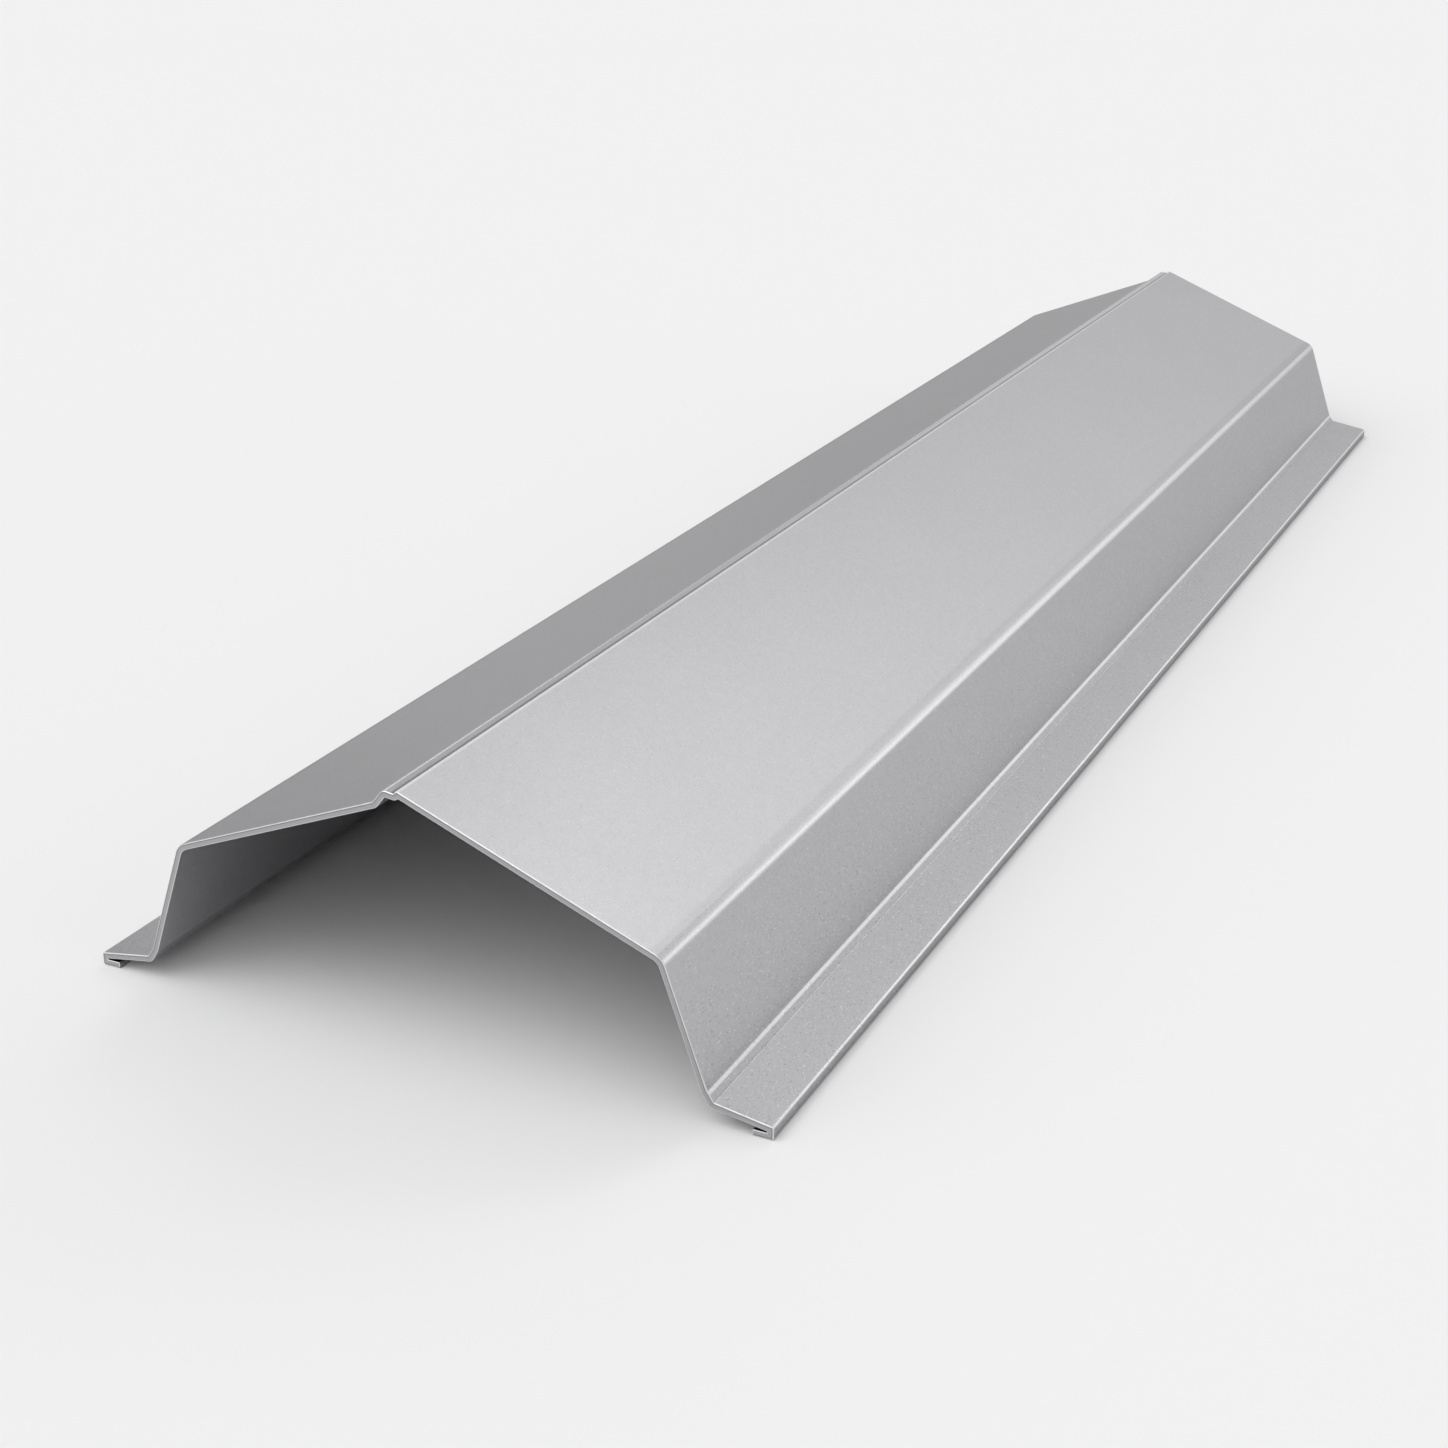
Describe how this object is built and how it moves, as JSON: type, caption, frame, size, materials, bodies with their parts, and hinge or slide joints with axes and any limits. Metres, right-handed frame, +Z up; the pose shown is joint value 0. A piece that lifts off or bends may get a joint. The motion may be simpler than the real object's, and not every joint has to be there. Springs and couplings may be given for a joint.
{
  "type": "ridge cap",
  "caption": "Press-braked aluminium ridge cap with hemmed flanges, steep webs, pitched slopes and a raised bead beside the ridge line.",
  "frame": {"origin": "on the floor, midway along the length and midway between the two hems", "axes": "+Y along the length from the near cut end to the far one, +X to the right seen from the near end, +Z up to the ridge"},
  "size_m": [0.291, 1, 0.1032],
  "materials": {
    "sheet": "satin"
  },
  "bodies": {
    "root": {"ridge_cap": "sheet"}
  },
  "joints": []
}
